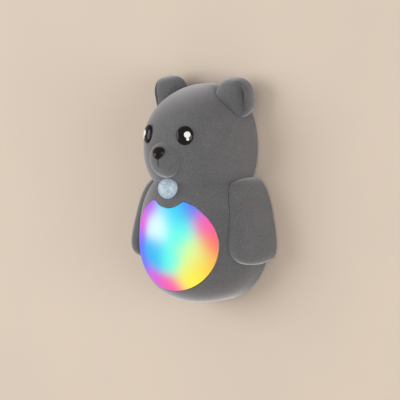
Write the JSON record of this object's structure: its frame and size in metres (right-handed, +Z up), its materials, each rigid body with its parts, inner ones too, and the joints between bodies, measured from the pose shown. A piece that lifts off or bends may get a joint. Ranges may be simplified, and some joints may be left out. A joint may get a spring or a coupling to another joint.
{
  "type": "plush night light",
  "caption": "Wall-hung bear night light with a flocked body, milky glowing belly, motion sensor dome, rear controls and a magnetic wall plate.",
  "frame": {"origin": "middle of the adhesive pad's face on the wall", "axes": "+Z up, +Y into the wall, the bear looks along -Y, +X to the right as one faces the bear"},
  "size_m": [0.0784, 0.0483, 0.1137],
  "materials": {
    "grey_flock": "moulded plastic with a short, velvety grey flock coat",
    "gloss_black": "polished",
    "milky_diffuser": "milky and translucent, lit from behind",
    "sensor_white": "pale translucent lens with fine facets",
    "white_plastic": "smooth",
    "grey_plastic": "fine grained",
    "black_plastic": "satin",
    "board": "white coated circuit board",
    "foam": "closed-cell foam tape",
    "red_wire": "satin",
    "black_wire": "satin",
    "cell_foil": "crimped foil pouch",
    "steel": "zinc plated",
    "nickel": "nickel plated"
  },
  "bodies": {
    "wall_mount": {"wall_plate": "steel", "adhesive_pad": "foam"},
    "bear": {"torso_shell": "grey_flock", "head_shell": "grey_flock", "right_arm": "grey_flock", "left_arm": "grey_flock", "right_ear": "grey_flock", "left_ear": "grey_flock", "muzzle": "grey_flock", "nose": "gloss_black", "right_eye": "gloss_black", "left_eye": "gloss_black", "right_eye_clip": "steel", "left_eye_clip": "steel", "belly_diffuser": "milky_diffuser", "light_box": "white_plastic", "sensor_lens": "sensor_white", "sensor_can": "nickel", "sensor_board": "board", "sensor_lead": "black_wire", "sensor_plug": "white_plastic", "main_board": "board", "colour_led_1": "white_plastic", "colour_led_2": "white_plastic", "colour_led_3": "white_plastic", "colour_led_4": "white_plastic", "colour_led_5": "white_plastic", "colour_led_6": "white_plastic", "board_screw_1": "steel", "board_screw_2": "steel", "board_screw_3": "steel", "board_screw_4": "steel", "charging_socket": "nickel", "switch_body": "nickel", "tact_switch": "black_plastic", "battery_cell": "cell_foil", "battery_foam": "foam", "battery_lead_red": "red_wire", "battery_lead_black": "black_wire", "battery_plug": "white_plastic", "rear_cover": "grey_plastic", "cover_screw_1": "steel", "cover_screw_2": "steel", "cover_screw_3": "steel", "cover_screw_4": "steel", "right_magnet": "nickel", "left_magnet": "nickel"},
    "knob": {"switch_knob": "black_plastic"},
    "button": {"mode_button": "grey_plastic"}
  },
  "joints": [
    {"name": "bear_lift_off", "type": "slide", "parent": "wall_mount", "child": "bear", "axis": [0, -1, 0], "range_m": [0, 0.03]},
    {"name": "switch_slide", "type": "slide", "parent": "bear", "child": "knob", "axis": [1, 0, 0], "range_m": [-0.002, 0.002]},
    {"name": "mode_press", "type": "slide", "parent": "bear", "child": "button", "axis": [0, -1, 0], "range_m": [0, 0.0008], "stiffness_N_per_m": 600, "springref_m": -0.0003}
  ]
}
